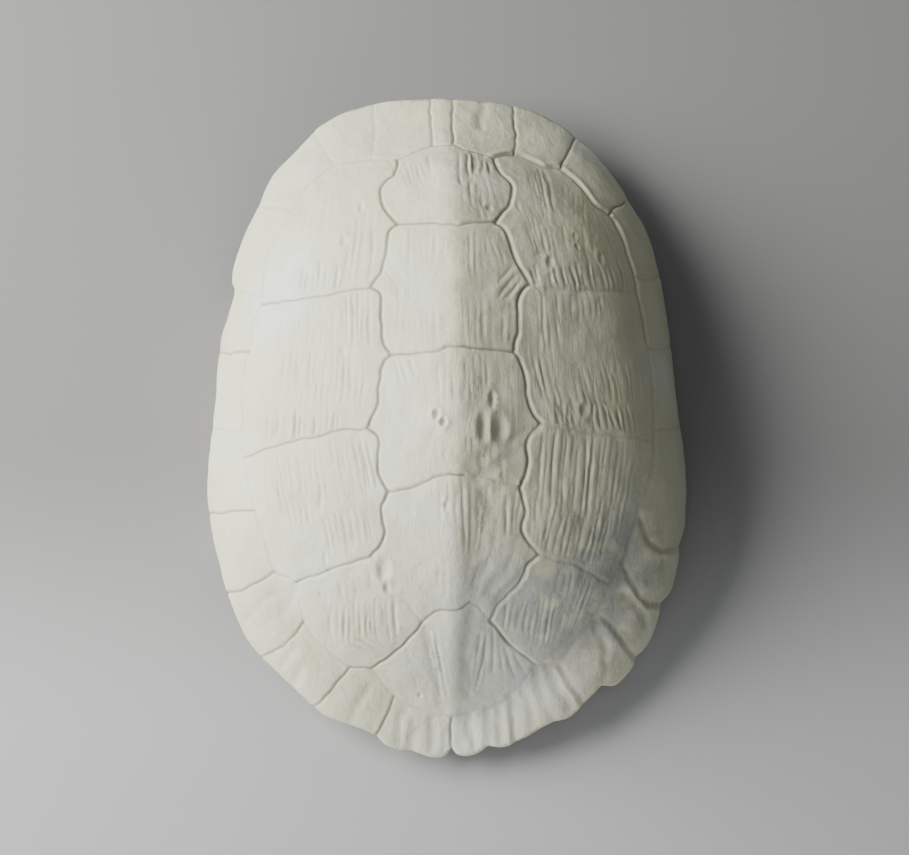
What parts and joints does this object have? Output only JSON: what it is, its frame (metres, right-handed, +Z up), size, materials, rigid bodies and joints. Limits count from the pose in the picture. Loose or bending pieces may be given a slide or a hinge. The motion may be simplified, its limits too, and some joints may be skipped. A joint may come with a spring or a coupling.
{
  "type": "river turtle shell",
  "caption": "Bleached top shell of a river turtle: a hollow keeled dome with plate seams and a scalloped rim, resting on its sawn bridge edges.",
  "frame": {"origin": "on the surface that the shell rests on, midway between its left and right edges and between its front and rear edges", "axes": "+Z up through the top of the dome, +Y along the backbone towards the head, +X to the right as seen from above with the head pointing away"},
  "size_m": [0.195, 0.2686, 0.0882],
  "materials": {
    "shell": "dull off-white of old bleached shell, dry, with a fine grain and grey in the seams"
  },
  "bodies": {
    "root": {"carapace": "shell"}
  },
  "joints": []
}
